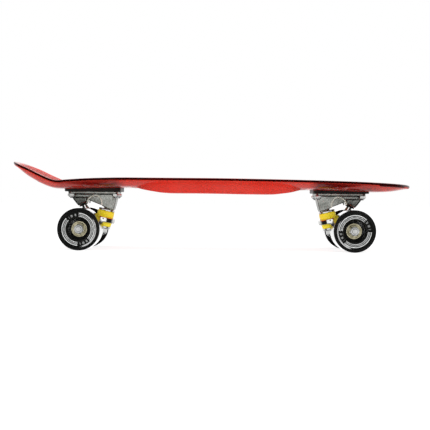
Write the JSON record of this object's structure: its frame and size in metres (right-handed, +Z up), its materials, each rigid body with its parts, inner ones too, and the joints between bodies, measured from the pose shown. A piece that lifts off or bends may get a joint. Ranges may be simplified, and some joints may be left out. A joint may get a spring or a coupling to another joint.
{
  "type": "cruiser skateboard",
  "caption": "Small plastic cruiser skateboard with a kicktail, sprung steering trucks, yellow bushings and free-turning black wheels.",
  "frame": {"origin": "on the ground under the middle of the deck's length, in the board's centre plane", "axes": "+X towards the nose (front), +Y to the rider's left, +Z up from the ground"},
  "size_m": [0.5738, 0.1502, 0.1247],
  "materials": {
    "deck_plastic": "translucent red moulded plastic, glossy, waffle texture on the standing surface",
    "pad_plastic": "satin black moulded plastic",
    "cast_aluminium": "tumbled aluminium casting, fine grain",
    "polished_aluminium": "mirror polished aluminium casting",
    "zinc_steel": "bright zinc-plated steel",
    "bearing_steel": "ground bearing steel with a pale gold shield",
    "bushing_urethane": "opaque yellow urethane, satin",
    "wheel_urethane": "glossy black urethane with a light grey printed ring"
  },
  "bodies": {
    "board": {"deck": "deck_plastic", "rear_riser_pad": "pad_plastic", "rear_baseplate": "cast_aluminium", "rear_pivot_cup": "pad_plastic", "rear_kingpin": "zinc_steel", "rear_upper_washer": "zinc_steel", "rear_upper_bushing": "bushing_urethane", "rear_lower_bushing": "bushing_urethane", "rear_lower_washer": "zinc_steel", "rear_kingpin_nut": "zinc_steel", "rear_outer_left_mounting_bolt": "zinc_steel", "rear_outer_right_mounting_bolt": "zinc_steel", "rear_inner_left_mounting_bolt": "zinc_steel", "rear_inner_right_mounting_bolt": "zinc_steel", "rear_outer_left_mounting_nut": "zinc_steel", "rear_outer_right_mounting_nut": "zinc_steel", "rear_inner_left_mounting_nut": "zinc_steel", "rear_inner_right_mounting_nut": "zinc_steel", "front_riser_pad": "pad_plastic", "front_baseplate": "cast_aluminium", "front_pivot_cup": "pad_plastic", "front_kingpin": "zinc_steel", "front_upper_washer": "zinc_steel", "front_upper_bushing": "bushing_urethane", "front_lower_bushing": "bushing_urethane", "front_lower_washer": "zinc_steel", "front_kingpin_nut": "zinc_steel", "front_outer_left_mounting_bolt": "zinc_steel", "front_outer_right_mounting_bolt": "zinc_steel", "front_inner_left_mounting_bolt": "zinc_steel", "front_inner_right_mounting_bolt": "zinc_steel", "front_outer_left_mounting_nut": "zinc_steel", "front_outer_right_mounting_nut": "zinc_steel", "front_inner_left_mounting_nut": "zinc_steel", "front_inner_right_mounting_nut": "zinc_steel"},
    "rear_truck": {"rear_hanger": "polished_aluminium", "rear_axle": "zinc_steel", "rear_left_bearing_sleeve": "bearing_steel", "rear_left_axle_nut": "zinc_steel", "rear_right_bearing_sleeve": "bearing_steel", "rear_right_axle_nut": "zinc_steel"},
    "front_truck": {"front_hanger": "polished_aluminium", "front_axle": "zinc_steel", "front_left_bearing_sleeve": "bearing_steel", "front_left_axle_nut": "zinc_steel", "front_right_bearing_sleeve": "bearing_steel", "front_right_axle_nut": "zinc_steel"},
    "rear_left_rolling": {"rear_left_wheel": "wheel_urethane", "rear_left_outer_bearing": "bearing_steel", "rear_left_inner_bearing": "bearing_steel"},
    "rear_right_rolling": {"rear_right_wheel": "wheel_urethane", "rear_right_outer_bearing": "bearing_steel", "rear_right_inner_bearing": "bearing_steel"},
    "front_left_rolling": {"front_left_wheel": "wheel_urethane", "front_left_outer_bearing": "bearing_steel", "front_left_inner_bearing": "bearing_steel"},
    "front_right_rolling": {"front_right_wheel": "wheel_urethane", "front_right_outer_bearing": "bearing_steel", "front_right_inner_bearing": "bearing_steel"}
  },
  "joints": [
    {"name": "rear_truck_steer", "type": "hinge", "parent": "board", "child": "rear_truck", "pos_m": [-0.1914, 0, 0.0675], "axis": [-0.7882, 0, 0.6154], "range_deg": [-15, 15], "stiffness_Nm_per_rad": 60, "deforming": ["rear_upper_bushing", "rear_lower_bushing"]},
    {"name": "front_truck_steer", "type": "hinge", "parent": "board", "child": "front_truck", "pos_m": [0.2017, 0, 0.0675], "axis": [0.7882, 0, 0.6154], "range_deg": [-15, 15], "stiffness_Nm_per_rad": 60, "deforming": ["front_upper_bushing", "front_lower_bushing"]},
    {"name": "rear_left_wheel_spin", "type": "hinge", "parent": "rear_truck", "child": "rear_left_rolling", "pos_m": [-0.1866, 0.051, 0.0295], "axis": [0, 1, 0], "continuous": true},
    {"name": "rear_right_wheel_spin", "type": "hinge", "parent": "rear_truck", "child": "rear_right_rolling", "pos_m": [-0.1866, -0.051, 0.0295], "axis": [0, 1, 0], "continuous": true},
    {"name": "front_left_wheel_spin", "type": "hinge", "parent": "front_truck", "child": "front_left_rolling", "pos_m": [0.1969, 0.051, 0.0295], "axis": [0, 1, 0], "continuous": true},
    {"name": "front_right_wheel_spin", "type": "hinge", "parent": "front_truck", "child": "front_right_rolling", "pos_m": [0.1969, -0.051, 0.0295], "axis": [0, 1, 0], "continuous": true}
  ]
}
